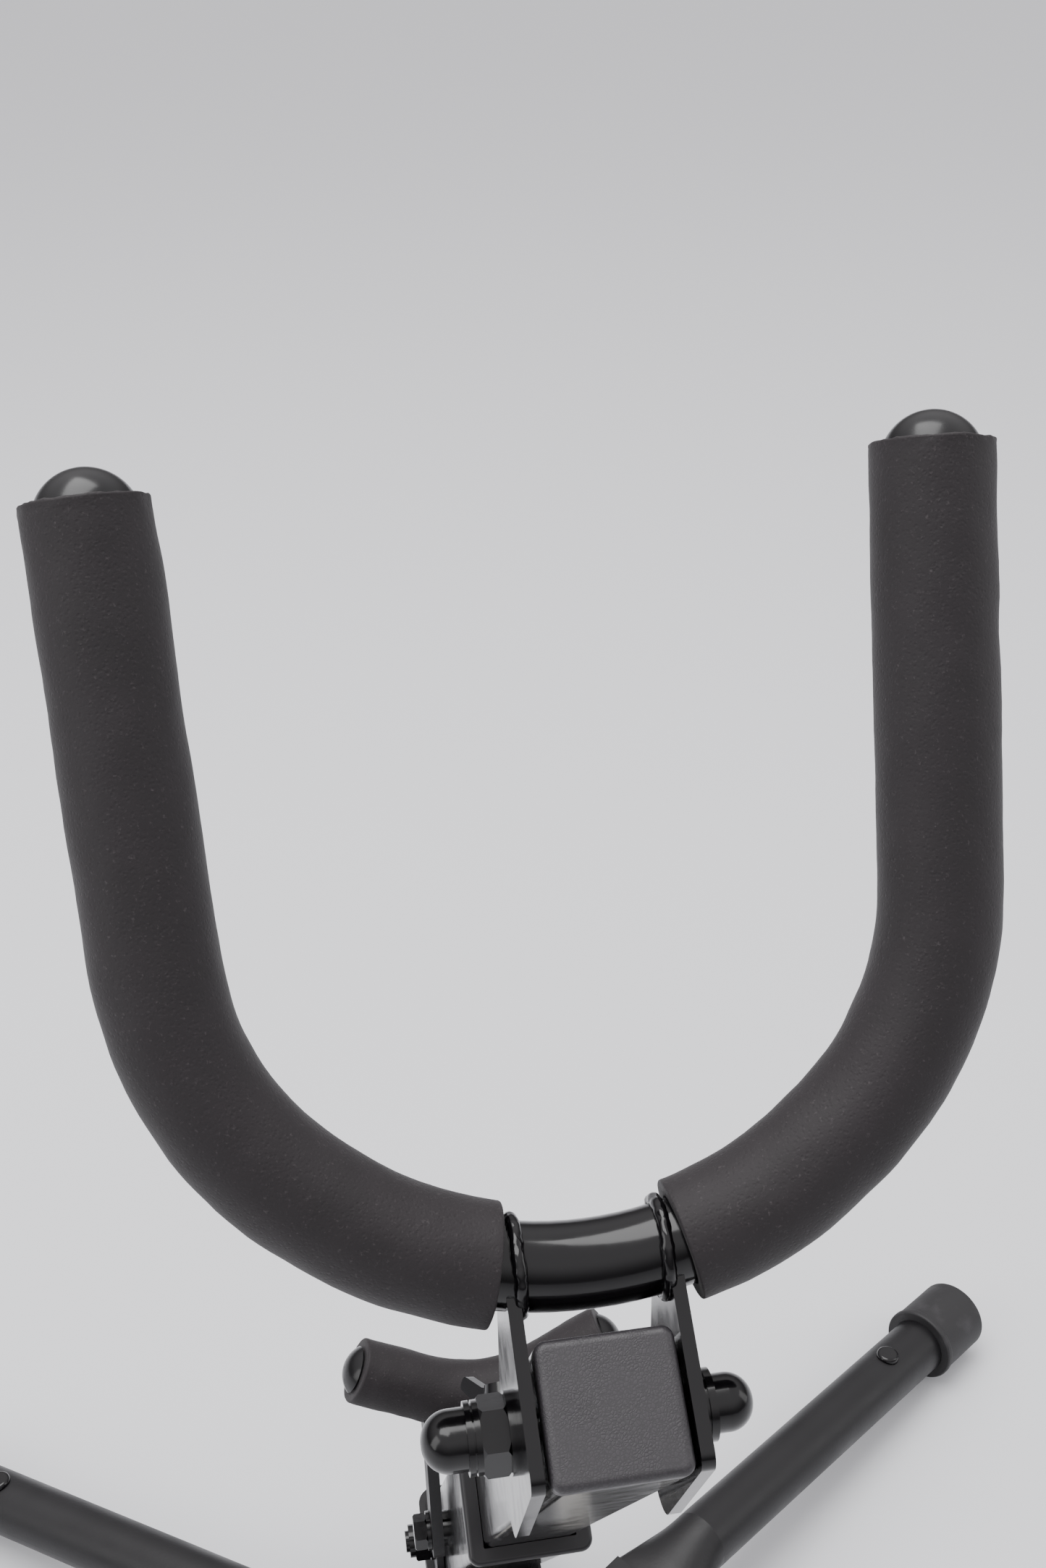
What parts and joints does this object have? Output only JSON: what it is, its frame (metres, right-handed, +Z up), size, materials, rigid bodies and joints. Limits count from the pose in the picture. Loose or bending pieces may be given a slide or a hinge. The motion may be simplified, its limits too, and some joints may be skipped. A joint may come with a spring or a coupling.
{
  "type": "saxophone stand",
  "caption": "Folding floor stand with a foam-sleeved U yoke for the bell, a padded lower rest on a telescoping inclined square mast, and a tripod base with rubber feet.",
  "frame": {"origin": "on the floor, at the middle of the footprint", "axes": "+X to the stand's right seen from the front, +Y towards the back, +Z up"},
  "size_m": [0.386, 0.3362, 0.4264],
  "materials": {
    "gloss_black_paint": "gloss black enamel",
    "satin_black_paint": "satin black powder coat",
    "black_fastener": "gloss black plated steel",
    "zinc_fastener": "zinc plated",
    "black_foam": "matt closed-cell foam",
    "gloss_black_plastic": "gloss",
    "grained_black_plastic": "fine leather grain",
    "black_nylon": "smooth satin",
    "black_rubber": "moulded satin"
  },
  "bodies": {
    "base": {"hub_plate_top": "satin_black_paint", "hub_plate_bottom": "satin_black_paint", "hub_spacer": "satin_black_paint", "mast_bracket": "satin_black_paint", "hub_bolts": "zinc_fastener", "hub_nuts": "zinc_fastener", "leg_pivot_bolts": "zinc_fastener", "leg_pivot_washers": "zinc_fastener", "leg_pivot_nuts": "zinc_fastener", "mast_pivot_bolt": "black_fastener", "mast_pivot_washers": "black_fastener", "mast_pivot_nut": "black_fastener", "front_leg_tube": "satin_black_paint", "front_leg_boot": "black_rubber", "front_leg_rivet": "black_fastener"},
    "rear_leg_left": {"rear_leg_left_tube": "satin_black_paint", "rear_leg_left_boot": "black_rubber", "rear_leg_left_rivet": "black_fastener"},
    "rear_leg_right": {"rear_leg_right_tube": "satin_black_paint", "rear_leg_right_boot": "black_rubber", "rear_leg_right_rivet": "black_fastener"},
    "mast": {"outer_tube": "gloss_black_paint", "outer_tube_plug": "black_nylon", "slide_bush": "black_nylon", "lock_boss": "gloss_black_paint", "rest_pivot_bolt": "black_fastener", "rest_pivot_nut": "black_fastener", "rest_spacers": "black_fastener", "rest_washers": "black_fastener"},
    "height_lock": {"wing_screw": "black_fastener"},
    "lower_rest": {"rest_tube": "satin_black_paint", "rest_foam": "black_foam", "rest_plug_left": "gloss_black_plastic", "rest_plug_right": "gloss_black_plastic", "rest_bar_left": "satin_black_paint", "rest_bar_right": "satin_black_paint"},
    "upper_mast": {"inner_tube": "gloss_black_paint", "end_cap": "grained_black_plastic"},
    "yoke": {"yoke_tube": "gloss_black_paint", "yoke_foam_left": "black_foam", "yoke_foam_right": "black_foam", "yoke_plug_left": "gloss_black_plastic", "yoke_plug_right": "gloss_black_plastic", "clevis_plate_left": "gloss_black_paint", "clevis_plate_right": "gloss_black_paint", "pivot_stud": "black_fastener", "pivot_washers": "black_fastener", "jam_nut": "black_fastener", "dome_nut_left": "black_fastener", "dome_nut_right": "black_fastener"}
  },
  "joints": [
    {"name": "mast_fold", "type": "hinge", "parent": "base", "child": "mast", "pos_m": [0, 0.06915, 0.052], "axis": [1, 0, 0], "range_deg": [0, 46]},
    {"name": "height_slide", "type": "slide", "parent": "mast", "child": "upper_mast", "axis": [0, -0.5519, 0.8339], "range_m": [-0.03, 0.04]},
    {"name": "yoke_tilt", "type": "hinge", "parent": "upper_mast", "child": "yoke", "pos_m": [0, -0.095, 0.3], "axis": [1, 0, 0], "range_deg": [-68, 14]},
    {"name": "height_lock_turn", "type": "hinge", "parent": "mast", "child": "height_lock", "pos_m": [0, 0.01109, 0.17595], "axis": [0, 0.8339, 0.5519], "range_deg": [0, 360]},
    {"name": "rest_swing", "type": "hinge", "parent": "mast", "child": "lower_rest", "pos_m": [0, 0.04298, 0.09153], "axis": [1, 0, 0], "range_deg": [-90, 13]},
    {"name": "leg_fold_left", "type": "hinge", "parent": "base", "child": "rear_leg_left", "pos_m": [-0.027, 0.0414, 0.03], "axis": [0, 0, 1], "range_deg": [0, 126.4]},
    {"name": "leg_fold_right", "type": "hinge", "parent": "base", "child": "rear_leg_right", "pos_m": [0.027, 0.0414, 0.03], "axis": [0, 0, 1], "range_deg": [-126.4, 0]}
  ]
}
